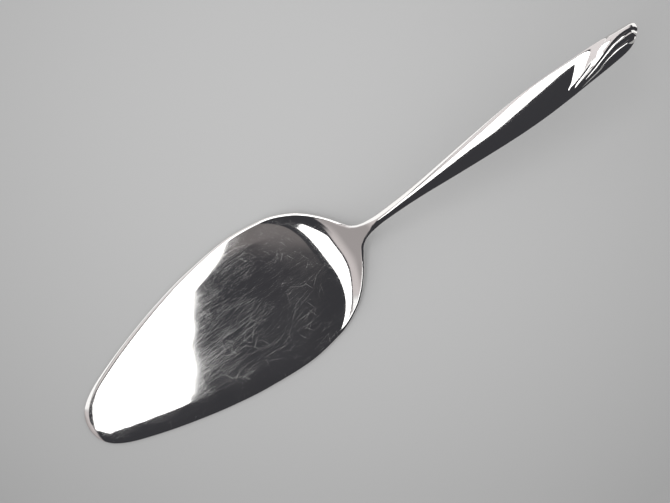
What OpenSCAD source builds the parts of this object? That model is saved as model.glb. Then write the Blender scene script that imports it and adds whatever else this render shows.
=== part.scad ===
// Cake server of polished silver plate: a leaf-shaped blade with a dished heel,
// and a slender arched handle whose end is fluted in a one-sided swirl.
// The server lies along X, tip at the low end, and its flat underside is on Z = 0.
// Both pieces are slices of one skin, so the joint in the neck shows no step.

/* [Blade] */
// Length of the blade, from its tip to the root of the neck
blade_len = 131; // [118:1:145]
// Width of the blade at its widest place
blade_w = 58.4; // [50:0.2:68]
// Thickness of the blade between its rounded edges
blade_t = 1.5; // [1.1:0.1:2.2]
// Height of the blade's edge line above the flat underside
edge_h = 0.5; // [0.3:0.05:0.8]
// Width of the rounding along the top edge
rim_w = 2.2; // [1:0.1:3.5]
// Width of that rounding where the heel starts
heel_rim_w = 1.2; // [0.8:0.1:3]
// Width of the rounding along the bottom edge
under_rim_w = 0.6; // [0.3:0.1:1.2]
// Width of the band along the edge in which the top falls off gently
soft_w = 9; // [5:0.5:14]
// Depth of that fall at the tip
soft_drop = 0.65; // [0:0.05:0.9]

/* [Heel] */
// Length of the heel, from the end of the flat to the root of the neck
heel_len = 20; // [16:0.5:24]
// Height that the heel climbs over that length
heel_rise = 8.8; // [7:0.1:12]
// Radius of the shallow dish in which the heel starts
dish_radius = 29; // [26:0.5:45]
// How far the heel's start line sweeps forward at the sides
heel_sweep = 12.5; // [8:0.5:18]
// Half width over which the start line sweeps
heel_sweep_w = 27.5; // [24:0.5:32]

/* [Neck] */
// Width across the root of the neck
root_w = 6.5; // [5.6:0.1:9]
// Width of the neck at its narrowest place
neck_w = 4.1; // [3.2:0.1:5.4]
// Thickness of the neck
neck_t = 3.6; // [2.6:0.1:4.8]
// Distance from the root to the narrowest place
neck_len = 9; // [7:0.5:12]
// How far into the neck the heel's bend runs out
bend_len = 8; // [6:0.5:12]
// Climb of the neck past that bend, in degrees
neck_pitch = 17.3; // [8:0.1:20]

/* [Handle] */
// Length of the handle, from the root of the neck to its end
handle_len = 122.2; // [105:0.2:145]
// Width of the handle at its widest place
handle_w = 12.4; // [9:0.1:16]
// Thickness of the handle along its middle
handle_t = 2.5; // [1.8:0.1:3.6]
// Climb of the handle at its end, in degrees
end_pitch = 9; // [0:0.5:12]
// Length over which the end rounds off in thickness
end_cap = 7; // [4:0.5:12]
// Sideways shift of the end's outermost point
end_shift = 1.9; // [0:0.1:3]

/* [Fluted end] */
// Length of the fluted end
flute_len = 34.7; // [28:0.1:44]
// Height of the first ridge over the plain crown
ridge_h = 1.3; // [0.4:0.1:1.6]
// Depth that a channel as wide as the handle's half width would have
flute_depth = 0.55; // [0.1:0.05:0.8]

/* [Joint] */
// Distance from the root of the neck to the middle of the soldered joint
joint_out = 3.4; // [2.5:0.1:5]
// Slant of the joint against the line of the neck, in degrees
scarf_angle = 27; // [20:1:40]
// Thickness of the solder between the two pieces
solder_t = 0.12; // [0.08:0.01:0.2]

/* [Hidden] */

// Outline of the blade: share of its length, share of its half width
blade_outline_shares = [
    [0, 0], [0.0153, 0.232], [0.0573, 0.39], [0.147, 0.556], [0.266, 0.72],
    [0.385, 0.851], [0.504, 0.945], [0.653, 1], [0.772, 0.936], [0.861, 0.768],
    [0.895, 0.648], [0.92, 0.531], [0.945, 0.392], [0.965, 0.258],
    [0.981, 0.163]
];
// Outline of the handle: share of its length, share of its half width
handle_outline_shares = [
    [0.144, 0.366], [0.219, 0.452], [0.3, 0.594], [0.366, 0.705], [0.44, 0.818],
    [0.511, 0.916], [0.58, 0.982], [0.64, 1], [0.72, 0.963], [0.798, 0.889],
    [0.868, 0.821], [0.94, 0.698], [0.975, 0.508], [1, 0]
];
// Height of the handle's crown: share of the handle's length, then how many times its
// plain height it has there
crown_gains = [[0.09, 1], [0.2, 1.35], [0.36, 1.7], [0.5, 1.5], [0.62, 1.12], [0.72, 1]];
// Place of the handle's crown: share of the handle's length, then how far the crown's
// top is off the middle, as a share of the half width
crown_shares = [
    [0.09, 0], [0.22, 0.2], [0.37, 0.25], [0.52, 0.165], [0.67, -0.05], [0.75, -0.1], [0.9, 0]
];
// Lines along the handle: share of the fluted length, then how far across the half width
// the scoop starts, its crease runs and the four ridges run, from one edge to the other
ridge_shares = [
    [-1.2, 0.34, 0.05, -0.25, -0.5, -0.68, -0.85], [-0.5, 0.3, 0, -0.3, -0.53, -0.7, -0.86],
    [-0.2, -0.1, -0.3, -0.5, -0.68, -0.8, -0.9], [0, -0.45, -0.66, -0.7, -0.82, -0.88, -0.94],
    [0.1, -0.34, -0.42, -0.45, -0.7, -0.81, -0.91], [0.2, 0.24, -0.3, -0.35, -0.54, -0.71, -0.87],
    [0.3, 0.7, -0.1, -0.15, -0.42, -0.6, -0.78], [0.4, 0.95, 0.12, 0.05, -0.26, -0.47, -0.69],
    [0.5, 1.1, 0.36, 0.15, -0.06, -0.28, -0.57], [0.6, 1.2, 0.61, 0.32, 0.19, -0.1, -0.46],
    [0.7, 1.35, 0.87, 0.57, 0.43, 0.05, -0.41], [0.8, 1.5, 1.1, 0.74, 0.56, 0.07, -0.48],
    [0.855, 1.5, 1.15, 0.78, 0.55, 0, -0.66], [0.907, 1.5, 1.15, 0.82, 0.46, -0.2, -0.95],
    [0.93, 1.5, 1.15, 0.83, 0.37, -0.9, -1.7], [0.945, 1.5, 1.15, 0.84, 0.28, -1.6, -2.4],
    [0.965, 1.5, 1.15, 0.84, 0, -2.2, -3], [0.985, 1.5, 1.15, 0.8, -0.9, -2.8, -3.6],
    [1, 1.5, 1.1, 0.6, -1.4, -3.2, -4]
];
// Height along each of those lines, as a share of the first ridge's height
height_shares = [0, 0.6, 0.82, 1, 0.94, 0.8];
// Share of the fluted length over which the lines come up
fade_share = 0.5;
// Shares of the fluted length between which the first channel runs out, and how much
// deeper than the others it is before that
first_shares = [0.32, 0.45];
first_depth = 1.6;
// Share of the soft fall that is left by the heel, and where on the blade it fades
soft_left_share = 0.2;
soft_fade_shares = [0.3, 0.68];
// How fast the heel's start line sweeps, and how much shorter the heel gets at the sides
sweep_power = 3.8;
pinch = 1.2;
// Share of the heel that is only dished, before the climb
climb_share = 0.4;
// How soon the handle's climb eases off, 1 for evenly
arch_power = 1.5;
// Share of the heel that is past before its section starts to crown
flat_heel_share = 0.55;
// Share of the root's extra width that is left a third of the way along the neck
flare_share = 0.4;
// Share of the thickness that lies above the edge line of the neck and of the handle
neck_top_share = 0.3;
top_share = 0.36;
// Share of the handle over which the neck's thickness runs out
taper_share = 0.6;
// Share of the end's length over which its sideways shift grows
shift_share = 0.095;
shift_power = 3;
// Share of the handle's thickness by which the middle of its top drops at the very end
end_drop_share = 0.4;

// Column counts from edge to edge: plain crown, scoop, fall of its crease, three
// channels, outer lobe
columns = [8, 6, 3, 4, 4, 3, 4];
top_count = 32;
// Shares of the underside's edge rounding at which its columns stand
under_shares = [0, 0.3, 1];

total_len = blade_len + handle_len;
flat_len = blade_len - heel_len;
// The flat underside is centred on X = 0
tip_x = -flat_len / 2;
neck_x = blade_len + neck_len;
bend_end = heel_len + bend_len;
flute_x = total_len - flute_len;
joint_x = blade_len + joint_out;

function clamp(value, low, high) = min(max(value, low), high);
function smooth(share) = let (s = clamp(share, 0, 1)) s * s * (3 - 2 * s);
function mix(a, b, share) = a + (b - a) * share;
function square(value) = value * value;

// A smooth curve through the rows of a table, with no overshoot: column c at the place x
function row_of(table, x, i = 0) =
    i >= len(table) - 2 || x < table[i + 1][0] ? i : row_of(table, x, i + 1);
function step_of(table, i) = table[i + 1][0] - table[i][0];
function chord(table, i, c) = (table[i + 1][c] - table[i][c]) / step_of(table, i);
function end_lean(a, b, share) =
    let (m = a + (a - b) * share) m * a <= 0 ? 0 : a * b <= 0 && abs(m) > 3 * abs(a) ? 3 * a : m;
function lean(table, i, c) =
    let (last = len(table) - 1, a = chord(table, max(i - 1, 0), c),
         b = chord(table, min(i, last - 1), c))
    i == 0
    ? end_lean(a, chord(table, 1, c), step_of(table, 0) / (step_of(table, 0) + step_of(table, 1)))
    : i == last
    ? end_lean(b, chord(table, last - 2, c),
        step_of(table, last - 1) / (step_of(table, last - 1) + step_of(table, last - 2)))
    : a * b <= 0 ? 0
    : let (p = step_of(table, i - 1), q = step_of(table, i))
    3 * (p + q) / ((2 * q + p) / a + (q + 2 * p) / b);
function curve(table, x, c = 1) =
    let (i = row_of(table, x), h = step_of(table, i), u = (x - table[i][0]) / h,
         m0 = lean(table, i, c) * h, m1 = lean(table, i + 1, c) * h)
    (2 * u^3 - 3 * u^2 + 1) * table[i][c] + (u^3 - 2 * u^2 + u) * m0
    + (3 * u^2 - 2 * u^3) * table[i + 1][c] + (u^3 - u^2) * m1;
function curve_slope(table, x, c = 1) =
    let (i = row_of(table, x), h = step_of(table, i), u = (x - table[i][0]) / h,
         m0 = lean(table, i, c) * h, m1 = lean(table, i + 1, c) * h)
    ((6 * u^2 - 6 * u) * (table[i][c] - table[i + 1][c])
        + (3 * u^2 - 4 * u + 1) * m0 + (3 * u^2 - 2 * u) * m1) / h;

// The outline is kept as the square of the half width, which rounds both ends
outline = concat(
    [for (p = blade_outline_shares) [p[0] * blade_len, square(p[1] * blade_w / 2)]],
    [[blade_len, square(root_w / 2)],
        [blade_len + neck_len / 3, square(mix(neck_w, root_w, flare_share) / 2)],
        [neck_x, square(neck_w / 2)]],
    [for (p = handle_outline_shares) [blade_len + p[0] * handle_len, square(p[1] * handle_w / 2)]]
);
function half_width(x) = sqrt(max(curve(outline, x), 0));
// Sideways place of the middle line, which leans to one side at the end
function middle(x) =
    end_shift * pow(clamp((x - total_len) / (shift_share * handle_len) + 1, 0, 1), shift_power);

// Distance past the heel's start line, square to that line
function past_heel(x, y) =
    let (across = abs(y) / heel_sweep_w,
         drop = heel_sweep * pow(across, sweep_power),
         slope = heel_sweep * sweep_power * pow(across, sweep_power - 1) / heel_sweep_w,
         distance = (x - flat_len + drop) / sqrt(1 + slope * slope),
         pinched = 1 + pinch * pow(across, 3))
    min(distance * pinched, distance + bend_end * (1 - 1 / pinched));
// Height of the crest: flat, then a shallow dish, the heel's climb and the handle's arch
function crest(d) =
    let (run = bend_end - heel_len * climb_share, climb = tan(neck_pitch),
         rest = heel_rise + bend_len * climb - square(bend_end) / (2 * dish_radius),
         turn = (climb - bend_end / dish_radius) * run, bow = square(run) / dish_radius,
         u = clamp((d - bend_end) / run + 1, 0, 1),
         out = max(d - bend_end, 0), left = handle_len - bend_len)
    blade_t + square(clamp(d, 0, bend_end)) / (2 * dish_radius)
    + (10 * rest - 4 * turn - bow / 2) * u^3 + (7 * turn - 15 * rest + bow) * u^4
    + (6 * rest - 3 * turn - bow / 2) * u^5 + out * climb
    + (tan(end_pitch) - climb)
        * (out - left / (arch_power + 1) * (1 - pow(max(1 - out / left, 0), arch_power + 1)));

function end_round(x) = sqrt(max(1 - square(clamp((x - total_len) / end_cap + 1, 0, 1)), 0));
function body_part(x, of_blade, of_neck, of_handle) =
    mix(mix(of_blade, of_neck, smooth((x - flat_len) / (neck_x - flat_len))),
        of_handle, smooth((x - neck_x) / (taper_share * handle_len))) * end_round(x);
// Height of the top's middle, with the drop that rounds the handle's very end
function top_middle(x, y) =
    crest(past_heel(x, y)) - (1 - end_round(x)) * handle_t * end_drop_share;
// Height of that middle over the edge line, and of the edge line over the underside
function above_edge(x) =
    body_part(x, blade_t - edge_h, neck_t * neck_top_share, handle_t * top_share)
    * along_handle(crown_gains, x);
function below_edge(x) = body_part(x, blade_t, neck_t, handle_t) - above_edge(x);

// Value of a table of the handle's shares at the distance x from the tip
function along_handle(table, x) =
    curve(table, clamp((x - blade_len) / handle_len, table[0][0], table[len(table) - 1][0]));

// Distance of a place from the nearest edge
function edge_distance(x, v) =
    let (w = half_width(x), q = square(w), y = v * w, slope = curve_slope(outline, x))
    (q - y * y) / max(sqrt(slope * slope + 4 * y * y), edge_h / 100);
// How full the section is at a place: 1 on the flat, 0 at the edge
function rounding(distance, width) = sqrt(max(1 - square(clamp(1 - distance / width, 0, 1)), 0));
function crowned(x) =
    smooth((x - flat_len - heel_len * flat_heel_share) / (heel_len * (1 - flat_heel_share)));
function fullness(x, v, width, shift = 0) =
    mix(rounding(edge_distance(x, v), width),
        sqrt(max(1 - square((v - shift) / (1 - shift * v)), 0)), crowned(x));
// The gentle fall of the blade's top towards its edge, strongest at the tip
function soft_fall(x, v) =
    let (fade = (x / blade_len - soft_fade_shares[0]) / (soft_fade_shares[1] - soft_fade_shares[0]))
    soft_drop * mix(1, soft_left_share, smooth(fade))
        * square(clamp(1 - edge_distance(x, v) / soft_w, 0, 1))
        * (1 - smooth(past_heel(x, v * half_width(x)) / heel_len + 0.5));

// Places across the half width of the scoop's start, its crease and the four ridges
function ridges(x) = [for (c = [1 : 6]) curve(ridge_shares, (x - flute_x) / flute_len, c)];
function line_past(r, v, i = 0) = i > 5 || v >= r[i] ? i : line_past(r, v, i + 1);
// How strong the channel between the lines i - 1 and i is: none beside the crease
function strength(x, i) =
    i == 2 ? 0
    : i == 3 ? first_depth * (1 - smooth(((x - flute_x) / flute_len - first_shares[0])
        / (first_shares[1] - first_shares[0])))
    : 1;
// Relief of the fluted end over the plain crown, before it fades in
function relief_from(x, r, v) =
    let (i = line_past(r, v), s = i == 0 ? 0 : i > 5 ? 0 : (r[i - 1] - v) / (r[i - 1] - r[i]))
    i == 0 ? 0
    : i == 1 ? ridge_h * height_shares[1] * s * s
    : i > 5 ? ridge_h * height_shares[5] * square((1 + v) / (1 + r[5]))
    : ridge_h * mix(height_shares[i - 1], height_shares[i], s)
        - 4 * flute_depth * (r[i - 1] - r[i]) * s * (1 - s) * strength(x, i);
function relief(x, v, r) =
    x < flute_x ? 0
    : relief_from(x, r, v) * smooth((x - flute_x) / (fade_share * flute_len))
        * end_round(x) * (1 - pow(v, 8));

// Columns of the top, from edge to edge. On the blade they crowd towards both
// edges, and along the handle they follow the ridges.
function held_ridges(r) =
    [for (i = [0 : 5]) clamp(r[i], -0.97 + 0.02 * (5 - i), 0.96 - 0.02 * i)];
function ridge_columns(r) =
    let (stops = concat([1], held_ridges(r), [-1]))
    concat([for (k = [0 : 6], i = [0 : columns[k] - 1])
        let (share = i / columns[k],
             bent = k == 0 ? share * share : k == 6 ? 1 - square(1 - share) : share)
        mix(stops[k], stops[k + 1], bent)], [-1]);
function top_columns(x, r) =
    let (follow = smooth((x - neck_x) / (taper_share * handle_len / 2)), line = ridge_columns(r))
    [for (i = [0 : top_count]) mix(cos(180 * i / top_count), line[i], follow)];
function under_columns(x) =
    let (w = half_width(x), slope = curve_slope(outline, x) / (2 * max(w, edge_h)),
         wide = mix(under_rim_w * sqrt(1 + slope * slope) / max(w, edge_h), 0.5,
             smooth((x - flat_len) / heel_len)),
         edge = min(wide, 0.5),
         side = [for (s = under_shares) 1 - s * edge])
    concat([-side[1], -side[2], -side[2] / 2, 0, side[2] / 2, side[2], side[1]]);

// One closed ring of the skin at the distance x from the tip
function ring(x) =
    let (w = half_width(x), mid = middle(x), up = above_edge(x), down = below_edge(x),
         r = ridges(x), shift = along_handle(crown_shares, x),
         rim = mix(rim_w, heel_rim_w, smooth(x / flat_len)))
    concat(
        [for (v = top_columns(x, r))
            let (full = fullness(x, v, rim, shift))
            [tip_x + x, mid + v * w,
             top_middle(x, v * w) - up * (1 - full) - soft_fall(x, v) * full + relief(x, v, r)]],
        [for (v = under_columns(x))
            [tip_x + x, mid + v * w,
             top_middle(x, v * w) - up - down * fullness(x, v, under_rim_w)]]
    );
function ring_middle(x) =
    [tip_x + x, middle(x), top_middle(x, 0) - above_edge(x)];

// Places of the rings, crowded where the outline or the surface turns
tip_run = rim_w * 3;
end_run = end_cap;
slice_from = blade_len - heel_len / 4;
slice_to = neck_x + neck_len / 3;
function run(from, to, count) = [for (i = [0 : count - 1]) mix(from, to, i / count)];
tip_stations = [for (i = [1 : 9]) tip_run * square(i / 9)];
flat_stations = [for (x = run(tip_run, flat_len - heel_sweep, 24)) if (x > tip_run) x];
heel_stations = run(flat_len - heel_sweep, slice_from, 20);
joint_stations = run(slice_from, slice_to, 14);
plain_stations = run(slice_to, flute_x, 22);
flute_stations = run(flute_x, total_len - end_run, 38);
end_stations = [for (i = [0 : 8]) total_len - end_run * square(1 - i / 9)];

blade_stations = concat(tip_stations, flat_stations, heel_stations, joint_stations, [slice_to]);
handle_stations = concat(joint_stations, plain_stations, flute_stations, end_stations);

// A closed skin over the rings at the given places, pointed at both ends
module skin(stations, first_point, last_point) {
    rings = [for (x = stations) ring(x)];
    n = len(rings[0]);
    m = len(rings);
    points = concat([for (row = rings, p = row) p], [first_point, last_point]);
    sides = [for (k = [0 : m - 2], i = [0 : n - 1], half = [0, 1])
        let (j = (i + 1) % n, a = k * n)
        half == 0 ? [a + i, a + j, a + n + j] : [a + i, a + n + j, a + n + i]];
    starts = [for (i = [0 : n - 1]) [m * n, (i + 1) % n, i]];
    ends = [for (i = [0 : n - 1]) [m * n + 1, (m - 1) * n + i, (m - 1) * n + (i + 1) % n]];
    polyhedron(points = points, faces = concat(starts, sides, ends));
}

// The joint's plane climbs towards the handle, so the handle's tongue lies under the blade
module at_joint() {
    pitch = atan((crest(joint_x - flat_len + joint_out) - crest(joint_x - flat_len - joint_out))
        / (2 * joint_out));
    mid = crest(joint_x - flat_len) - (above_edge(joint_x) + below_edge(joint_x)) / 2;
    translate([tip_x + joint_x, 0, mid]) rotate([0, -pitch - scarf_angle, 0]) children();
}
cut_size = blade_w;
module joint_slab(low, high) {
    at_joint() translate([-cut_size / 2, -cut_size / 2, low]) cube([cut_size, cut_size, high - low]);
}

module blade() {
    color([0.86, 0.86, 0.87])
    difference() {
        skin(blade_stations, [tip_x, 0, edge_h], ring_middle(slice_to));
        joint_slab(-cut_size, solder_t / 2);
    }
}

module handle() {
    color([0.88, 0.87, 0.87])
    difference() {
        skin(handle_stations, ring_middle(slice_from),
            [tip_x + total_len, middle(total_len), top_middle(total_len, 0)]);
        joint_slab(-solder_t / 2, cut_size);
    }
}

module solder_seam() {
    color([0.8, 0.79, 0.77])
    intersection() {
        skin(concat(joint_stations, [slice_to]), ring_middle(slice_from), ring_middle(slice_to));
        joint_slab(-solder_t / 2, solder_t / 2);
    }
}

blade();
handle();
solder_seam();
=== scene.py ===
import math

import bpy
import bmesh
import numpy as np
from mathutils import Matrix, Vector


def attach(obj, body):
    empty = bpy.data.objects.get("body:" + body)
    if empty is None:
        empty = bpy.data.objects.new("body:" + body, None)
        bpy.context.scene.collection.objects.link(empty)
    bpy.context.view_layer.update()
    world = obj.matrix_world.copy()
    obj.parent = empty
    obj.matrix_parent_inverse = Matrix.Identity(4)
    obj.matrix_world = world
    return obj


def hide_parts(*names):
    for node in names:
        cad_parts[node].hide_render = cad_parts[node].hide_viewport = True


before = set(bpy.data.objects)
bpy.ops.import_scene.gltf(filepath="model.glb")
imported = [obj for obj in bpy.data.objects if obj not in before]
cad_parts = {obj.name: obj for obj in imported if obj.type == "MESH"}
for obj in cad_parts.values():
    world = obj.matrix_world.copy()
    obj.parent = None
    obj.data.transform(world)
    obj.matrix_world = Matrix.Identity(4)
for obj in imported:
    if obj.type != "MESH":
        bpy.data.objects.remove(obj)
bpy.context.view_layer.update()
mm = 0.001

# The server's axis climbs to the upper right in the picture
camera = {
    "height": 450.0,  # above the floor
    "over": 62.62,  # place along the server that the camera looks down on
    "turn": 36.28,  # degrees between the server's axis and the picture's lower edge
    "frameWidth": 261.3,  # what the picture shows of the floor, left to right
    "sensor": 36.0,
    "clip": (0.01, 20),  # nearest and farthest that it sees, in metres
}
turn = math.radians(camera["turn"])
pictureRight = Vector((math.cos(turn), -math.sin(turn), 0))
pictureUp = Vector((math.sin(turn), math.cos(turn), 0))
pictureAxes = Matrix((pictureRight, pictureUp, Vector((0, 0, 1)))).transposed().to_4x4()


def addCamera():
    data = bpy.data.cameras.new("camera")
    data.sensor_width = camera["sensor"]
    data.lens = camera["sensor"] * camera["height"] / camera["frameWidth"]
    data.clip_start, data.clip_end = camera["clip"]
    cam = bpy.data.objects.new("camera", data)
    bpy.context.scene.collection.objects.link(cam)
    place = Vector((camera["over"], 0, camera["height"])) * mm
    cam.matrix_world = Matrix.Translation(place) @ pictureAxes
    bpy.context.scene.camera = cam


addCamera()
print("camera set")


# A socket that takes Python's arithmetic, in material, world and geometry trees
class Wire:
    def __init__(self, nodes, socket):
        self.nodes = nodes
        self.socket = socket

    def maths(self, operation, *values):
        sockets = dict(enumerate(values))
        return self.nodes.make("ShaderNodeMath", {"operation": operation}, sockets)

    def __add__(self, other):
        return self.maths("ADD", self, other)

    def __radd__(self, other):
        return self.maths("ADD", other, self)

    def __sub__(self, other):
        return self.maths("SUBTRACT", self, other)

    def __rsub__(self, other):
        return self.maths("SUBTRACT", other, self)

    def __mul__(self, other):
        return self.maths("MULTIPLY", self, other)

    def __rmul__(self, other):
        return self.maths("MULTIPLY", other, self)

    def __truediv__(self, other):
        return self.maths("DIVIDE", self, other)

    def __pow__(self, other):
        return self.maths("POWER", self, other)

    def __gt__(self, other):
        return self.maths("GREATER_THAN", self, other)

    def __lt__(self, other):
        return self.maths("LESS_THAN", self, other)

    def __abs__(self):
        return self.maths("ABSOLUTE", self)

    def largest(self, other):
        return self.maths("MAXIMUM", self, other)

    def smallest(self, other):
        return self.maths("MINIMUM", self, other)

    def root(self):
        return self.maths("SQRT", self)

    def cosine(self):
        return self.maths("COSINE", self)

    def floor(self):
        return self.maths("FLOOR", self)

    def held(self):
        return self.largest(0.0).smallest(1.0)

    def eased(self, low, high):
        settings = {"interpolation_type": "SMOOTHSTEP"}
        sockets = {"Value": self, "From Min": low, "From Max": high}
        return self.nodes.make("ShaderNodeMapRange", settings, sockets)

    def towards(self, other, share):
        return self + (other - self) * share

    def out(self, name):
        return Wire(self.nodes, self.socket.node.outputs[name])


class Nodes:
    def __init__(self, tree):
        self.tree = tree
        tree.nodes.clear()

    def plug(self, value, socket):
        if isinstance(value, Wire):
            self.tree.links.new(value.socket, socket)
        else:
            socket.default_value = value

    def make(self, kind, settings=None, sockets=None, out=0):
        node = self.tree.nodes.new(kind)
        for name, value in (settings or {}).items():
            setattr(node, name, value)
        for name, value in (sockets or {}).items():
            self.plug(value, node.inputs[name])
        return Wire(self, node.outputs[out]) if node.outputs else None

    # The mix node's sockets have the same names for every kind of value, so they go by number
    def mixColours(self, share, *colours):
        first, second = (c if isinstance(c, Wire) else (*c, 1) for c in colours)
        sockets = {0: share, 6: first, 7: second}
        return self.make("ShaderNodeMix", {"data_type": "RGBA"}, sockets, 2)


# Sizes in millimetres, counted from the blade's tip
blade = {
    "length": 131.0,
    "width": 58.4,
    "thick": 1.5,
    "edgeHeight": 0.5,
    "rim": 2.2,
    "heelRim": 1.2,
    "underRim": 0.6,
    "softEdge": 9.0,  # width of the gentle fall towards the edge
    "softDrop": 0.65,  # depth of that fall at the tip
    "softLeftShare": 0.2,  # share of it that is left by the heel
    "softFadeShares": (0.3, 0.68),
    "softGone": 0.5,  # heel lengths before the heel's start line at which the rest starts to go
    "leastSteep": 0.005,  # keeps a division from failing at the tip
    "outlineShares": (
        (0, 0), (0.0153, 0.232), (0.0573, 0.39), (0.147, 0.556), (0.266, 0.72),
        (0.385, 0.851), (0.504, 0.945), (0.653, 1), (0.772, 0.936), (0.861, 0.768),
        (0.895, 0.648), (0.92, 0.531), (0.945, 0.392), (0.965, 0.258), (0.981, 0.163),
    ),
    "tipLength": 6.6,  # where the rings are close together
    "tipRings": 60,
    "bodyRings": 100,
    "rearRings": 150,
    "overrun": 3.0,  # how far past the neck the rings go on, to be cut off
    "topColumns": 180,
    "underColumns": 60,
}
heel = {
    "length": 20.0,
    "rise": 8.8,
    "dishRadius": 29.0,
    "climbShare": 0.4,  # share of the heel that is only dished, before the climb
    "sweep": 12.5,
    "sweepHalfWidth": 27.5,
    "sweepPower": 3.8,
    "pinch": 1.2,  # how much shorter the heel gets towards the sides
    "pinchPower": 3,
    "flatShare": 0.55,  # share of the heel that is past before its section starts to crown
}
neck = {
    "rootWidth": 6.5,
    "width": 4.1,
    "thick": 3.6,
    "length": 9.0,
    "pitch": 17.3,
    "bendLength": 8.0,  # how far into the neck the heel's bend runs out
    "flarePlace": 3.0,  # distance along the neck, and the root's extra width that is left there
    "flareShare": 0.4,
    "topShare": 0.3,
}
handle = {
    "length": 122.2,
    "width": 12.4,
    "thick": 2.5,
    "endPitch": 9.0,
    "archPower": 1.5,  # how soon the climb eases off, 1 for evenly
    "endCap": 7.0,
    "endShift": 1.9,
    "shiftShare": 0.095,
    "shiftPower": 3,
    "taperShare": 0.6,
    "topShare": 0.36,
    "endDropShare": 0.4,
    # Share of the length, then how many times its plain height the crown has there
    "crownGains": ((0.09, 1), (0.2, 1.35), (0.36, 1.7), (0.5, 1.5), (0.62, 1.12), (0.72, 1)),
    # Share of the length, then how far off the middle the crown's top is
    "crownShares": (
        (0.09, 0), (0.22, 0.2), (0.37, 0.25), (0.52, 0.165), (0.67, -0.05), (0.75, -0.1), (0.9, 0),
    ),
    "outlineShares": (
        (0.144, 0.366), (0.219, 0.452), (0.3, 0.594), (0.366, 0.705), (0.44, 0.818),
        (0.511, 0.916), (0.58, 0.982), (0.64, 1), (0.72, 0.963), (0.798, 0.889),
        (0.868, 0.821), (0.94, 0.698), (0.975, 0.508), (1, 0),
    ),
    "overrun": 0.5,  # how far into the blade the rings start, to be cut off
    "plainRings": 240,
    "flutedRings": 190,
    "capRings": 70,
    "lineColumns": 26,  # columns from one line of the flutes to the next
    "underColumns": 70,
    "weld": 1e-7,  # points closer than this, in metres, become one
}
flutes = {
    "length": 34.7,
    "ridge": 1.3,  # height of the highest ridge over the plain crown
    "depth": 0.55,  # depth of a channel that is as wide as the handle's half width
    "fadeShare": 0.5,
    "firstShares": (0.32, 0.45),  # where the first channel runs out
    "firstDepth": 1.6,
    "edgePower": 4,  # how close to the edges the flutes run before they die away
    # Where the columns that follow the lines are held, and the least room between two
    "heldEnds": (-0.97, 0.96),
    "heldRoom": 0.02,
    # Share of that height along each line: the scoop's start and its crease, then four ridges
    "heightShares": (0, 0.6, 0.82, 1, 0.94, 0.8),
    # Share of the fluted length, then the place of each line across the half width
    "lineShares": (
        (-1.2, 0.34, 0.05, -0.25, -0.5, -0.68, -0.85), (-0.5, 0.3, 0, -0.3, -0.53, -0.7, -0.86),
        (-0.2, -0.1, -0.3, -0.5, -0.68, -0.8, -0.9), (0, -0.45, -0.66, -0.7, -0.82, -0.88, -0.94),
        (0.1, -0.34, -0.42, -0.45, -0.7, -0.81, -0.91),
        (0.2, 0.24, -0.3, -0.35, -0.54, -0.71, -0.87),
        (0.3, 0.7, -0.1, -0.15, -0.42, -0.6, -0.78), (0.4, 0.95, 0.12, 0.05, -0.26, -0.47, -0.69),
        (0.5, 1.1, 0.36, 0.15, -0.06, -0.28, -0.57), (0.6, 1.2, 0.61, 0.32, 0.19, -0.1, -0.46),
        (0.7, 1.35, 0.87, 0.57, 0.43, 0.05, -0.41), (0.8, 1.5, 1.1, 0.74, 0.56, 0.07, -0.48),
        (0.855, 1.5, 1.15, 0.78, 0.55, 0, -0.66), (0.907, 1.5, 1.15, 0.82, 0.46, -0.2, -0.95),
        (0.93, 1.5, 1.15, 0.83, 0.37, -0.9, -1.7), (0.945, 1.5, 1.15, 0.84, 0.28, -1.6, -2.4),
        (0.965, 1.5, 1.15, 0.84, 0, -2.2, -3), (0.985, 1.5, 1.15, 0.8, -0.9, -2.8, -3.6),
        (1, 1.5, 1.1, 0.6, -1.4, -3.2, -4),
    ),
}
joint = {"out": 3.4, "slant": 27.0, "solder": 0.12, "near": 1e-7}

totalLength = blade["length"] + handle["length"]
flatLength = blade["length"] - heel["length"]
tipX = -flatLength / 2
neckX = blade["length"] + neck["length"]
fluteX = totalLength - flutes["length"]
jointX = blade["length"] + joint["out"]
bendEnd = heel["length"] + neck["bendLength"]


# A smooth curve through rows of (place, value), with no overshoot
class SmoothCurve:
    def __init__(self, rows):
        self.x = np.array([row[0] for row in rows], float)
        self.y = np.array([row[1] for row in rows], float)
        step = np.diff(self.x)
        chord = np.diff(self.y) / step
        lean = np.zeros_like(self.y)
        for i in range(1, len(rows) - 1):
            a, b, p, q = chord[i - 1], chord[i], step[i - 1], step[i]
            if a * b > 0:
                lean[i] = 3 * (p + q) / ((2 * q + p) / a + (q + 2 * p) / b)
        lean[0] = self.endLean(chord[0], chord[1], step[0] / (step[0] + step[1]))
        lean[-1] = self.endLean(chord[-1], chord[-2], step[-1] / (step[-1] + step[-2]))
        self.step, self.lean = step, lean

    def endLean(self, a, b, share):
        lean = a + (a - b) * share
        if lean * a <= 0:
            return 0
        return 3 * a if a * b <= 0 and abs(lean) > 3 * abs(a) else lean

    def parts(self, x):
        i = np.clip(np.searchsorted(self.x, x, side="right") - 1, 0, len(self.step) - 1)
        h, y, lean = self.step[i], self.y, self.lean
        return (x - self.x[i]) / h, h, y[i], y[i + 1], lean[i] * h, lean[i + 1] * h

    def at(self, x):
        u, _, y0, y1, m0, m1 = self.parts(x)
        fall = 2 * u**3 - 3 * u**2
        return (fall + 1) * y0 + (u**3 - 2 * u**2 + u) * m0 - fall * y1 + (u**3 - u**2) * m1

    def slope(self, x):
        u, h, y0, y1, m0, m1 = self.parts(x)
        ends = (3 * u**2 - 4 * u + 1) * m0 + (3 * u**2 - 2 * u) * m1
        return ((6 * u**2 - 6 * u) * (y0 - y1) + ends) / h


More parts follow.
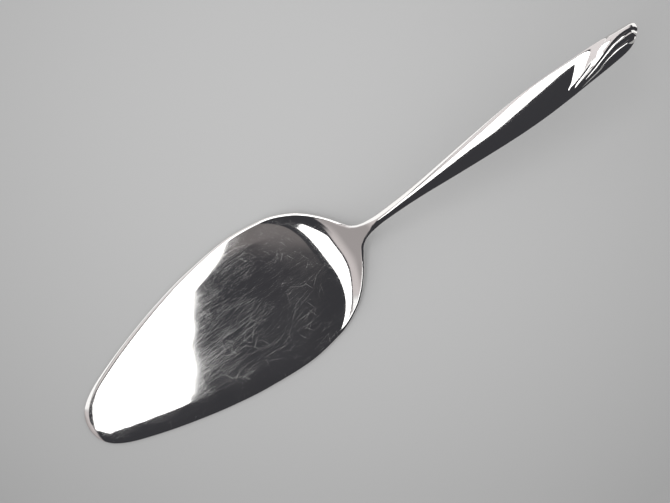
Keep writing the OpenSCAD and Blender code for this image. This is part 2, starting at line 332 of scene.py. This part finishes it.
def smooth(share):
    s = np.clip(share, 0, 1)
    return s * s * (3 - 2 * s)


def mix(a, b, share):
    return a + (b - a) * share


def squareOutline():
    rows = [(a * blade["length"], (b * blade["width"] / 2) ** 2) for a, b in blade["outlineShares"]]
    flare = mix(neck["width"], neck["rootWidth"], neck["flareShare"])
    rows += [
        (blade["length"], (neck["rootWidth"] / 2) ** 2),
        (blade["length"] + neck["flarePlace"], (flare / 2) ** 2),
        (neckX, (neck["width"] / 2) ** 2),
    ]
    rows += [
        (blade["length"] + a * handle["length"], (b * handle["width"] / 2) ** 2)
        for a, b in handle["outlineShares"]
    ]
    return SmoothCurve(rows)


outline = squareOutline()


def halfWidth(x):
    return np.sqrt(np.maximum(outline.at(x), 0))


def middle(x):
    reach = (x - totalLength) / (handle["shiftShare"] * handle["length"]) + 1
    return handle["endShift"] * np.clip(reach, 0, 1) ** handle["shiftPower"]


# Distance past the heel's start line, which sweeps forward at the sides
def pastHeel(x, y):
    across = np.abs(y) / heel["sweepHalfWidth"]
    drop = heel["sweep"] * across ** heel["sweepPower"]
    slope = heel["sweep"] * heel["sweepPower"] * across ** (heel["sweepPower"] - 1)
    distance = (x - flatLength + drop) / np.sqrt(1 + (slope / heel["sweepHalfWidth"]) ** 2)
    pinched = 1 + heel["pinch"] * across ** heel["pinchPower"]
    return np.minimum(distance * pinched, distance + bendEnd * (1 - 1 / pinched))


# Height of the top's middle: a shallow dish, a climb that meets it and the neck with the
# same slope and bend, then the arch of the handle
def crest(d):
    run = bendEnd - heel["length"] * heel["climbShare"]
    climb = math.tan(math.radians(neck["pitch"]))
    arch = math.tan(math.radians(handle["endPitch"])) - climb
    rest = heel["rise"] + neck["bendLength"] * climb - bendEnd**2 / (2 * heel["dishRadius"])
    turn = (climb - bendEnd / heel["dishRadius"]) * run
    bow = run**2 / heel["dishRadius"]
    w = np.clip((d - bendEnd) / run + 1, 0, 1)
    rise = np.clip(d, 0, bendEnd) ** 2 / (2 * heel["dishRadius"])
    rise += (10 * rest - 4 * turn - bow / 2) * w**3 + (7 * turn - 15 * rest + bow) * w**4
    rise += (6 * rest - 3 * turn - bow / 2) * w**5
    left = handle["length"] - neck["bendLength"]
    past = np.maximum(d - bendEnd, 0)
    power = handle["archPower"] + 1
    eased = past - left / power * (1 - np.maximum(1 - past / left, 0) ** power)
    return blade["thick"] + rise + past * climb + arch * eased


# Height of the top's middle at a place, with the drop that rounds the handle's very end
def topMiddle(x, y):
    return crest(pastHeel(x, y)) - (1 - endRound(x)) * handle["thick"] * handle["endDropShare"]


def endRound(x):
    return np.sqrt(np.maximum(1 - np.clip((x - totalLength) / handle["endCap"] + 1, 0, 1) ** 2, 0))


def bodyPart(x, ofBlade, ofNeck, ofHandle):
    front = mix(ofBlade, ofNeck, smooth((x - flatLength) / (neckX - flatLength)))
    taper = smooth((x - neckX) / (handle["taperShare"] * handle["length"]))
    return mix(front, ofHandle, taper) * endRound(x)


# Value, at a place, of rows of (share of the handle's length, value)
def alongHandle(rows, x):
    share = np.clip((x - blade["length"]) / handle["length"], rows[0][0], rows[-1][0])
    return SmoothCurve(rows).at(share)


def aboveEdge(x):
    ofBlade = blade["thick"] - blade["edgeHeight"]
    ofNeck, ofHandle = (part["thick"] * part["topShare"] for part in (neck, handle))
    return bodyPart(x, ofBlade, ofNeck, ofHandle) * alongHandle(handle["crownGains"], x)


def belowEdge(x):
    return bodyPart(x, blade["thick"], neck["thick"], handle["thick"]) - aboveEdge(x)


def rounding(distance, width):
    return np.sqrt(np.maximum(1 - np.clip(1 - distance / width, 0, 1) ** 2, 0))


# Distance to the outline, from how steeply the squared half width falls there
def edgeDistance(x, v):
    q = np.maximum(outline.at(x), 0)
    y = v * np.sqrt(q)
    steep = np.sqrt(outline.slope(x) ** 2 + 4 * y * y)
    return (q - y * y) / np.maximum(steep, blade["leastSteep"])


# How far the section has turned from the blade's flat top to the handle's crown
def crowned(x):
    start = flatLength + heel["length"] * heel["flatShare"]
    return smooth((x - start) / (blade["length"] - start))


def fullness(x, v, width):
    flat = rounding(edgeDistance(x, v), width)
    crown = np.sqrt(np.maximum(1 - v * v, 0))
    return mix(flat, crown, crowned(x))


def softFall(x, v):
    start, stop = (share * blade["length"] for share in blade["softFadeShares"])
    strength = mix(1, blade["softLeftShare"], smooth((x - start) / (stop - start)))
    distance = np.clip(1 - edgeDistance(x, v) / blade["softEdge"], 0, 1)
    gone = smooth(pastHeel(x, v * halfWidth(x)) / heel["length"] + blade["softGone"])
    return blade["softDrop"] * strength * distance**2 * (1 - gone)


def topHeight(x, v):
    full = fullness(x, v, mix(blade["rim"], blade["heelRim"], smooth(x / flatLength)))
    top = topMiddle(x, v * halfWidth(x))
    return top - aboveEdge(x) * (1 - full) - softFall(x, v) * full


def underHeight(x, v):
    top = topMiddle(x, v * halfWidth(x))
    return top - aboveEdge(x) - belowEdge(x) * fullness(x, v, blade["underRim"])


def jointPlane():
    along = np.array([jointX - joint["out"], jointX, jointX + joint["out"]])
    heights = crest(along - flatLength)
    pitch = math.atan((heights[2] - heights[0]) / (2 * joint["out"]))
    middleHeight = heights[1] - (aboveEdge(jointX) + belowEdge(jointX)) / 2
    tilt = pitch + math.radians(joint["slant"])
    place = Vector((tipX + jointX, 0, float(middleHeight))) * mm
    return place, Vector((-math.sin(tilt), 0, math.cos(tilt)))


def pieceOf(name, mesh):
    piece = bpy.data.objects.new(name, mesh)
    bpy.context.scene.collection.objects.link(piece)
    return piece


def meshFrom(name, points, faces):
    mesh = bpy.data.meshes.new(name)
    mesh.from_pydata([tuple(p) for p in points], [], faces)
    mesh.validate()
    return pieceOf(name, mesh)


# Keeps what lies on one side of a plane and closes the cut with a flat face
def cutPiece(piece, place, normal, keepAbove):
    bm = bmesh.new()
    bm.from_mesh(piece.data)
    cut = bmesh.ops.bisect_plane(
        bm, geom=bm.verts[:] + bm.edges[:] + bm.faces[:], dist=joint["near"], plane_co=place,
        plane_no=normal, clear_outer=not keepAbove, clear_inner=keepAbove,
    )
    rim = [e for e in cut["geom_cut"] if isinstance(e, bmesh.types.BMEdge)]
    caps = bmesh.ops.contextual_create(bm, geom=rim)["faces"]
    for edge in rim:
        edge.smooth = False
    for face in caps:
        face.smooth = False
    bmesh.ops.recalc_face_normals(bm, faces=bm.faces)
    bm.to_mesh(piece.data)
    bm.free()


# Places of the blade's rings, closer and closer together towards the tip
def bladeStations():
    tip, rear = blade["tipLength"], flatLength - heel["sweep"]
    return np.concatenate([
        tip * (np.arange(1, blade["tipRings"]) / blade["tipRings"]) ** 2,
        np.linspace(tip, rear, blade["bodyRings"], endpoint=False),
        np.linspace(rear, neckX + blade["overrun"], blade["rearRings"]),
    ])


def makeBlade():
    x = bladeStations()
    top = np.cos(np.pi * np.linspace(0, 1, blade["topColumns"] + 1))
    under = -np.cos(np.pi * np.linspace(0, 1, blade["underColumns"] + 1))[1:-1]
    columns = len(top) + len(under)
    xs = np.repeat(x[:, None], columns, 1)
    vs = np.repeat(np.concatenate([top, under])[None], len(x), 0)
    z = np.where(np.arange(columns) < len(top), topHeight(xs, vs), underHeight(xs, vs))
    points = np.stack([xs + tipX, vs * halfWidth(xs), z], 2).reshape(-1, 3)
    tip = [tipX, 0, blade["edgeHeight"]]
    points = np.vstack([points, [tip]]) * mm
    faces = []
    for k in range(len(x) - 1):
        for i in range(columns):
            j = (i + 1) % columns
            a = k * columns
            faces.append((a + i, a + columns + i, a + columns + j, a + j))
    last = len(points) - 1
    faces += [(last, i, (i + 1) % columns) for i in range(columns)]
    a = (len(x) - 1) * columns
    faces.append(tuple(a + i for i in reversed(range(columns))))
    piece = meshFrom("server_blade", points, faces)
    piece.data.polygons.foreach_set("use_smooth", [True] * len(piece.data.polygons))
    return piece


bladePiece = makeBlade()
place, normal = jointPlane()
half = joint["solder"] / 2 * mm
cutPiece(bladePiece, place + normal * half, normal, True)
print("blade made", len(bladePiece.data.vertices))


# The lines again, kept on the handle and in their order, for the columns to follow
def heldRidges(rows):
    low, high = flutes["heldEnds"]
    inset = flutes["heldRoom"] * np.arange(rows.shape[1])
    return np.clip(rows, low + inset[::-1], high - inset)


# A line of points along the crest that carries the handle's widths, heights and flute lines
def makeRail():
    start, capX = blade["length"] - handle["overrun"], totalLength - handle["endCap"]
    plain = np.linspace(start, fluteX, handle["plainRings"], endpoint=False)
    fluted = np.linspace(fluteX, capX, handle["flutedRings"], endpoint=False)
    capped = totalLength - handle["endCap"] * (1 - np.linspace(0, 1, handle["capRings"])) ** 2
    x = np.concatenate([plain, fluted, capped])
    points = np.stack([x + tipX, middle(x), topMiddle(x, 0)], 1) * mm
    rail = meshFrom("handle_rail", points, [])
    places, *lines = zip(*flutes["lineShares"])
    share = (x - fluteX) / flutes["length"]
    ridges = np.stack([SmoothCurve(list(zip(places, line))).at(share) for line in lines], 1)
    held = heldRidges(ridges)
    runOut, gone = flutes["firstShares"]
    values = {
        "halfWidth": halfWidth(x) * mm,
        "shift": alongHandle(handle["crownShares"], x),
        "above": aboveEdge(x) * mm,
        "below": belowEdge(x) * mm,
        "fade": smooth(share / flutes["fadeShare"]) * endRound(x) * (x > fluteX),
        "first": flutes["firstDepth"] * (1 - smooth((share - runOut) / (gone - runOut))),
        "follow": smooth((x - neckX) / (handle["taperShare"] * handle["length"] / 2)),
    }
    values |= {f"ridge{i}": ridges[:, i] for i in range(len(lines))}
    values |= {f"held{i}": held[:, i] for i in range(len(lines))}
    for name, value in values.items():
        rail.data.attributes.new(name, "FLOAT", "POINT").data.foreach_set("value", value)
    return rail, len(lines)


def handleTree(ridgeCount):
    tree = bpy.data.node_groups.new("handle_skin", "GeometryNodeTree")
    tree.interface.new_socket("Geometry", in_out="OUTPUT", socket_type="NodeSocketGeometry")
    kinds = (
        ("Rail", "Geometry"), ("Top Columns", "Int"), ("Under Columns", "Int"),
        ("Ridge Height", "Float"), ("Channel Depth", "Float"), ("Material", "Material"),
    )
    for name, kind in kinds:
        tree.interface.new_socket(name, in_out="INPUT", socket_type="NodeSocket" + kind)
    nodes = Nodes(tree)
    given = nodes.make("NodeGroupInput")
    rail, top, under = given.out("Rail"), given.out("Top Columns"), given.out("Under Columns")
    ridge, depth = given.out("Ridge Height"), given.out("Channel Depth")

    settings, sockets = {"component": "MESH"}, {"Geometry": rail}
    rows = nodes.make("GeometryNodeAttributeDomainSize", settings, sockets, "Point Count")
    columns = top + under + 1
    sockets = {"Vertices X": rows, "Vertices Y": columns}
    grid = nodes.make("GeometryNodeMeshGrid", {}, sockets, "Mesh")
    index = nodes.make("GeometryNodeInputIndex")
    row = (index / columns).floor()
    column = index - row * columns

    def sampled(value, kind="FLOAT"):
        settings = {"data_type": kind, "domain": "POINT"}
        sockets = {"Geometry": rail, "Value": value, "Index": row}
        return nodes.make("GeometryNodeSampleIndex", settings, sockets)

    def carried(name):
        settings = {"data_type": "FLOAT"}
        kind = "GeometryNodeInputNamedAttribute"
        return sampled(nodes.make(kind, settings, {"Name": name}, "Attribute"))

    # Place across the half width: from one edge over the top, and back along the underside
    onTop = column < top + 0.5
    topShare = (column / top).held()
    underShare = ((column - top) / under).held()
    last = ridgeCount + 1
    q = topShare * last
    q = q.towards(q * q, q < 1).towards(last - (last - q) * (last - q), q > last - 1)
    stops = [1.0] + [carried(f"held{i}") for i in range(ridgeCount)] + [-1.0]
    lined = sum((1 - abs(q - k)).largest(0) * stop for k, stop in enumerate(stops))
    across = (topShare * math.pi).cosine().towards(lined, carried("follow"))
    v = (-1 * (underShare * math.pi).cosine()).towards(across, onTop)

    # Height of the flutes over the plain crown: a rise to the crease, then a channel for each
    # pair of lines, of which the first is plain and the second runs out
    ridges = [carried(f"ridge{i}") for i in range(ridgeCount)]
    heights = [ridge * share for share in flutes["heightShares"]]
    share = (ridges[0] - v) / (ridges[0] - ridges[1])
    relief = (share * share * heights[1]) * (v < ridges[0])
    for i in range(1, ridgeCount - 1):
        wide = ridges[i] - ridges[i + 1]
        share = (ridges[i] - v) / wide
        strength = 0 if i == 1 else carried("first") if i == 2 else 1
        dip = depth * wide * share * (1 - share) * 4 * strength
        relief = relief.towards(heights[i].towards(heights[i + 1], share) - dip, v < ridges[i])
    share = (v + 1) / (ridges[-1] + 1)
    relief = relief.towards(heights[-1] * share * share, v < ridges[-1])
    relief = relief * carried("fade") * (1 - (v * v) ** flutes["edgePower"])

    # The crown is a half ellipse whose top is pushed a little to one side
    shift = carried("shift")
    leaned = ((v - shift) / (1 - shift * v)).towards(v, onTop < 0.5)
    full = (1 - leaned * leaned).largest(0).root()
    above, below = carried("above"), carried("below")
    onRail = sampled(nodes.make("GeometryNodeInputPosition"), "FLOAT_VECTOR")
    spot = nodes.make("ShaderNodeSeparateXYZ", {}, {0: onRail}, "X")
    overEdge = 0 - above * (1 - full) + relief
    underEdge = 0 - above - below * full
    sockets = {
        "X": spot,
        "Y": spot.out("Y") + v * carried("halfWidth"),
        "Z": spot.out("Z") + underEdge.towards(overEdge, onTop),
    }
    position = nodes.make("ShaderNodeCombineXYZ", {}, sockets)
    moved = nodes.make("GeometryNodeSetPosition", {}, {"Geometry": grid, "Position": position})
    sockets = {"Geometry": moved, "Distance": handle["weld"]}
    closed = nodes.make("GeometryNodeMergeByDistance", {}, sockets)
    shaded = nodes.make("GeometryNodeSetShadeSmooth", {}, {"Geometry": closed})
    real = nodes.make("GeometryNodeRealizeInstances", {}, {"Geometry": shaded})
    sockets = {"Geometry": real, "Material": given.out("Material")}
    done = nodes.make("GeometryNodeSetMaterial", {}, sockets)
    nodes.make("NodeGroupOutput", {}, {"Geometry": done})
    return tree


def makeHandleSkin(material):
    rail, ridgeCount = makeRail()
    tree = handleTree(ridgeCount)
    modifier = rail.modifiers.new("skin", "NODES")
    modifier.node_group = tree
    sizes = {
        "Top Columns": handle["lineColumns"] * (ridgeCount + 1),
        "Under Columns": handle["underColumns"],
        "Ridge Height": flutes["ridge"] * mm,
        "Channel Depth": flutes["depth"] * mm,
        "Material": material,
    }
    for item in tree.interface.items_tree:
        if item.name in sizes:
            modifier[item.identifier] = sizes[item.name]
    bpy.context.view_layer.update()
    made = rail.evaluated_get(bpy.context.evaluated_depsgraph_get())
    mesh = bpy.data.meshes.new_from_object(made)
    bpy.data.objects.remove(rail)
    bm = bmesh.new()
    bm.from_mesh(mesh)
    bmesh.ops.recalc_face_normals(bm, faces=bm.faces)
    bm.to_mesh(mesh)
    bm.free()
    return mesh


silver = {
    "colour": (0.91, 0.9, 0.885),
    "dull": (0.84, 0.815, 0.79),
    "polish": 0.035,  # roughness of the best polish, and what haze and scratches add to it
    "haze": 0.035,
    "scratchRough": 0.34,
    "handleHaze": 0.0175,
    "handleMarks": 0.35,  # share of the blade's scratches that the handle has
    "uneven": 0.000035,  # height of the slow waves that bend what the polish reflects
    # Hairlines: angle in degrees, length and gap between rows in metres, share of the places
    # that have one, strength
    "hairlines": (
        (3, 0.022, 0.0005, 0.42, 0.55), (-3, 0.016, 0.0006, 0.4, 0.6),
        (8, 0.018, 0.0008, 0.38, 0.6), (-14, 0.012, 0.0012, 0.34, 0.7),
        (29, 0.009, 0.0019, 0.22, 0.7), (-41, 0.007, 0.0024, 0.18, 0.8),
        (64, 0.005, 0.0031, 0.14, 0.9), (-72, 0.006, 0.0037, 0.13, 0.9),
    ),
    "hairWidth": 0.00004,
    "rowShift": (0.013, 0.007, 0),  # how far each set of rows is moved from the one before
    "alongShift": 7,
    "acrossSpread": (0.3, 0.4),  # where in its row a hairline lies: from, and how far at most
    "leanSpread": 0.35,
    "startEase": (0.0, 0.2),
    "endEase": (0.5, 1.0),
    # Noises: scale, detail, and the values between which they ease
    "worn": (70.0, 2.0, 0.3, 0.65),
    "grain": (2600.0, 1.0, 0.6, 0.75),
    "cloud": (35.0, 3.0, 0.35, 0.75),
    "waves": (60.0, 1.0),
    "wornLeast": 0.4,
    "grainShare": 0.35,
    "cloudDull": 0.35,
    "markDull": 0.2,
}


# Straight hairlines of one direction: rows of places, some of which carry a short line
def hairlines(nodes, where, row, angle, length, gap, share, strength):
    sockets = {
        "Vector": where,
        "Location": [row * shift for shift in silver["rowShift"]],
        "Rotation": (0, 0, math.radians(angle)),
    }
    turned = nodes.make("ShaderNodeMapping", {}, sockets)
    spot = nodes.make("ShaderNodeSeparateXYZ", {}, {0: turned}, "X")

    def chance(a, b, out):
        vector = nodes.make("ShaderNodeCombineXYZ", {}, {"X": a, "Y": b, "Z": float(row)})
        settings = {"noise_dimensions": "3D"}
        return nodes.make("ShaderNodeTexWhiteNoise", settings, {"Vector": vector}, out)

    across = spot.out("Y") / gap
    line = across.floor()
    along = spot / length + chance(line, 0.5, "Value") * silver["alongShift"]
    place = along.floor()
    picks = nodes.make("ShaderNodeSeparateXYZ", {}, {0: chance(line, place, "Color")}, "X")
    part = along - place
    lean = (picks.out("Z") - 0.5) * (part - 0.5) * silver["leanSpread"]
    least, spread = silver["acrossSpread"]
    off = abs(across - line - least - picks.out("Y") * spread - lean) * (gap / silver["hairWidth"])
    ends = part.eased(*silver["startEase"]) * (1 - part.eased(*silver["endEase"]))
    return (1 - off.smallest(1)) * ends * (picks < share) * strength


def silverMaterial(name, scratches, haze):
    material = bpy.data.materials.new(name)
    material.use_nodes = True
    nodes = Nodes(material.node_tree)
    where = nodes.make("ShaderNodeTexCoord", {}, {}, "Object")

    def noise(scale, detail):
        sockets = {"Vector": where, "Scale": scale, "Detail": detail}
        return nodes.make("ShaderNodeTexNoise", {}, sockets, "Fac")

    def easedNoise(scale, detail, low, high):
        return noise(scale, detail).eased(low, high)

    marks = sum(hairlines(nodes, where, row, *line) for row, line in enumerate(silver["hairlines"]))
    worn = easedNoise(*silver["worn"]) * (1 - silver["wornLeast"]) + silver["wornLeast"]
    grain = easedNoise(*silver["grain"]) * silver["grainShare"]
    marks = ((marks + grain) * worn * scratches).held()
    cloud = easedNoise(*silver["cloud"])
    rough = silver["polish"] + cloud * haze + marks * silver["scratchRough"]
    dull = cloud * silver["cloudDull"] + marks * silver["markDull"]
    colour = nodes.mixColours(dull, silver["colour"], silver["dull"])
    waves = noise(*silver["waves"])
    sockets = {"Strength": 1.0, "Distance": silver["uneven"], "Height": waves}
    bump = nodes.make("ShaderNodeBump", {}, sockets)
    sockets = {"Base Color": colour, "Metallic": 1.0, "Roughness": rough, "Normal": bump}
    shader = nodes.make("ShaderNodeBsdfPrincipled", {}, sockets)
    nodes.make("ShaderNodeOutputMaterial", {}, {"Surface": shader})
    return material


bladeSilver = silverMaterial("silver_blade", 1.0, silver["haze"])
handleSilver = silverMaterial("silver_handle", silver["handleMarks"], silver["handleHaze"])
solderSilver = silverMaterial("silver_solder", silver["handleMarks"], silver["handleHaze"])
print("materials made")

bladePiece.data.materials.append(bladeSilver)
skin = makeHandleSkin(handleSilver)
handlePiece = pieceOf("server_handle", skin)
seamPiece = pieceOf("server_solder", skin.copy())
seamPiece.data.materials.clear()
seamPiece.data.materials.append(solderSilver)
cutPiece(handlePiece, place - normal * half, normal, False)
cutPiece(seamPiece, place - normal * half, normal, True)
cutPiece(seamPiece, place + normal * half, normal, False)
print("handle made", len(handlePiece.data.vertices), len(seamPiece.data.vertices))

lamp = {
    "height": 1.5,
    "level": 0.16,  # light that reaches the floor, where 1 renders white as white
    # In metres to the right of the camera and up in the picture
    "right": -0.238,
    "high": 0.9,
    # Its lower right corner is cut off: far edge and lower edge of each of its panes
    "panes": (
        (-0.246, -0.24), (-0.256, -0.262), (-0.27, -0.28), (-0.3, -0.3), (-0.32, -0.36),
        (-0.345, -0.42), (-0.37, -0.47), (-0.4, -0.52), (-0.43, -0.57), (-0.76, -0.61),
    ),
    "steps": 60,  # places each way at which a pane is weighed
}


# Each pane's middle and size, to the right and up in the picture
def lampPanes():
    panes, right = [], lamp["right"]
    for left, low in lamp["panes"]:
        middle = ((right + left) / 2, (low + lamp["high"]) / 2)
        panes.append((middle, (right - left, lamp["high"] - low)))
        right = left
    return panes


# Share of the floor's sky that a pane fills, weighed as a matt surface sees it
def skyShare(middle, size):
    places = np.linspace(-0.5, 0.5, lamp["steps"])
    a, b = np.meshgrid(middle[0] + places * size[0], middle[1] + places * size[1])
    height = lamp["height"] ** 2
    seen = height / (a * a + b * b + height) ** 2
    return float(seen.mean() * size[0] * size[1] / math.pi)


def addLamp():
    panes = lampPanes()
    bright = lamp["level"] / sum(skyShare(*pane) for pane in panes)
    for number, (middle, size) in enumerate(panes):
        data = bpy.data.lights.new(f"softbox_{number}", "AREA")
        data.shape = "RECTANGLE"
        data.size, data.size_y = size
        data.energy = bright * math.pi * size[0] * size[1]
        pane = bpy.data.objects.new(f"softbox_{number}", data)
        bpy.context.scene.collection.objects.link(pane)
        spot = Vector((camera["over"] * mm, 0, lamp["height"]))
        spot += pictureRight * middle[0] + pictureUp * middle[1]
        pane.matrix_world = Matrix.Translation(spot) @ pictureAxes


# Directions are slopes from straight up, to the right and up in the picture. A pair is where
# something begins and is whole; a lean is how much its edge slants.
room = {
    "lowest": 0.05,  # height under which a direction counts as if it were that high
    "axis": (0.806, 0.592),  # along the server, towards its handle
    "darkWay": (0.469, -0.883),
    "overhead": (0.04, 0.04, 0.045),
    "ceiling": (0.17, 0.157, 0.157),
    "ceilingLean": 0.1,
    "ceilingUp": ((-0.014, 0.012), (0.06, 0.12)),
    "ceilingRight": ((-0.135, -0.105), (0.15, 0.25)),
    "farLow": (0.42, 0.405, 0.405),
    "farEdge": (1.6, 2.8),
    "darkEdge": (0.6, 0.74),
    "wall": (0.61, 0.565, 0.565),
    "farWall": (0.81, 0.77, 0.775),
    "wallLean": 0.2,
    "wallFade": (-0.2, 0.9),
    "leftEdge": (0.55, 0.6),
    "topEdge": (0.64, 0.8),
    "topEnd": (-0.2, 0.3),
    "lowLean": 1.1,
    "lowEdge": (-0.1, 0.25),
    "wedgeLeft": (0.68, 0.76),
    "wedgeLean": 1.9,
    "wedgeEdge": (-0.1, 0.05),
    "wallFoot": (0.36, 0.335, 0.335),
    "footEdge": (0.75, 1.5),
    "footEnd": (-0.5, 0.1),
    "window": (1.1, 1.1, 1.1),
    "frame": (0.05, 0.05, 0.052),
    "frameLeans": (1.62, 1.07),
    "frameEdge": (1.0, 1.03),
    "frameLow": (-0.15, -0.05),
    "paneEdge": (1.07, 1.1),
    "behindEdge": (0.9, 1.1),
    "behindLow": (-0.2, 0.3),
    "soft": (0.84, 0.84, 0.84),  # light from all round on what isn't metal
    "backdrop": (0.5, 0.5, 0.505),  # what the camera sees past the floor
}


def addWorld():
    world = bpy.data.worlds.new("room")
    world.use_nodes = True
    bpy.context.scene.world = world
    nodes = Nodes(world.node_tree)
    towards = nodes.make("ShaderNodeTexCoord", {}, {}, "Generated")
    parts = nodes.make("ShaderNodeSeparateXYZ", {}, {0: towards}, "X")
    x, y, z = parts, parts.out("Y"), parts.out("Z")
    right = x * pictureRight.x + y * pictureRight.y
    up = x * pictureUp.x + y * pictureUp.y
    steep = z.largest(room["lowest"])
    right, up = right / steep, up / steep
    left = 0 - right
    along = right * room["axis"][0] + up * room["axis"][1]

    # The lit walls start a little beyond the lamp, to the left and at the top of the picture
    top = up.eased(*room["topEdge"]) * (1 - right.eased(*room["topEnd"]))
    low = (up - right * room["lowLean"]).eased(*room["lowEdge"])
    wedge = (up - right * room["wedgeLean"]).eased(*room["wedgeEdge"])
    wedge = left.eased(*room["wedgeLeft"]) * wedge
    walls = left.eased(*room["leftEdge"]).largest(top) * low.largest(wedge)
    fade = (up - right * room["wallLean"]).eased(*room["wallFade"])
    wall = nodes.mixColours(fade, room["wall"], room["farWall"])
    foot = (0 - along).eased(*room["footEdge"]) * (1 - up.eased(*room["footEnd"]))
    wall = nodes.mixColours(foot, wall, room["wallFoot"])

    # A window far to the left, in a dark frame
    aside = 0 - right * room["frameLeans"][0] - up * room["frameLeans"][1]
    framed = aside.eased(*room["frameEdge"]) * up.eased(*room["frameLow"])
    wall = nodes.mixColours(framed, wall, room["frame"])
    wall = nodes.mixColours(aside.eased(*room["paneEdge"]) * framed, wall, room["window"])

    # The dark overhead, with a strip of ceiling that is a little paler
    strip = (up + right * room["ceilingLean"]).eased(*room["ceilingUp"][0])
    strip = strip * (1 - up.eased(*room["ceilingUp"][1]))
    start, stop = room["ceilingRight"]
    strip = strip * right.eased(*start) * (1 - right.eased(*stop))
    overhead = nodes.mixColours(strip, room["overhead"], room["ceiling"])

    # The room's far walls are pale low down, except on one side
    far = (right * right + up * up).root()
    facing = (right * room["darkWay"][0] + up * room["darkWay"][1]) / far
    pale = far.eased(*room["farEdge"]) * (1 - facing.eased(*room["darkEdge"]))
    overhead = nodes.mixColours(pale, overhead, room["farLow"])
    colour = nodes.mixColours(walls, overhead, wall)

    # The window behind, which only the handle's very end faces
    behind = along.eased(*room["behindEdge"]) * up.eased(*room["behindLow"])
    colour = nodes.mixColours(behind, colour, room["window"])

    matt = nodes.make("ShaderNodeLightPath", {}, {}, "Is Diffuse Ray")
    colour = nodes.mixColours(matt, colour, room["soft"])
    seen = nodes.make("ShaderNodeLightPath", {}, {}, "Is Camera Ray")
    colour = nodes.mixColours(seen, colour, room["backdrop"])
    background = nodes.make("ShaderNodeBackground", {}, {"Color": colour, "Strength": 1.0})
    nodes.make("ShaderNodeOutputWorld", {}, {"Surface": background})


ground = {
    "size": 12,
    "drop": 0.00002,  # under the blade's underside, so that the two don't share a plane
    "colour": (0.58, 0.58, 0.58),
    "rough": 0.5,
    "paintedPoolMiddle": (0.093, 0.051),  # middle of the pool of light painted into the floor's colour, a place in metres
    # how fast the painted pool of light darkens outwards, and the least share of the floor's colour
    # that it keeps
    "fade": 7.4,
    "least": 0.7,
}


def addFloor():
    bpy.ops.mesh.primitive_plane_add(size=ground["size"], location=(0, 0, -ground["drop"]))
    floor = bpy.context.object
    floor.name = "floor"
    material = bpy.data.materials.new("floor")
    material.use_nodes = True
    nodes = Nodes(material.node_tree)
    where = nodes.make("ShaderNodeTexCoord", {}, {}, "Object")
    spot = nodes.make("ShaderNodeSeparateXYZ", {}, {0: where}, "X")
    # Painted light: the floor's colour darkens away from one place, standing in for a lamp's pool
    # of light
    x, y = spot - ground["paintedPoolMiddle"][0], spot.out("Y") - ground["paintedPoolMiddle"][1]
    paintedPoolShare = (1 - (x * x + y * y) * ground["fade"]).largest(ground["least"])
    colour = nodes.mixColours(paintedPoolShare, (0, 0, 0), ground["colour"])
    sockets = {"Color": colour, "Roughness": ground["rough"]}
    shader = nodes.make("ShaderNodeBsdfDiffuse", {}, sockets)
    nodes.make("ShaderNodeOutputMaterial", {}, {"Surface": shader})
    floor.data.materials.append(material)


addLamp()
addWorld()
addFloor()
bpy.context.scene.view_settings.view_transform = "Standard"
print("stage made")

for piece, node, slot in (
    (bladePiece, "blade", "silver_blade"),
    (handlePiece, "handle", "silver_handle"),
    (seamPiece, "solder_seam", "solder"),
):
    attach(piece, "root")
    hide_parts(node)
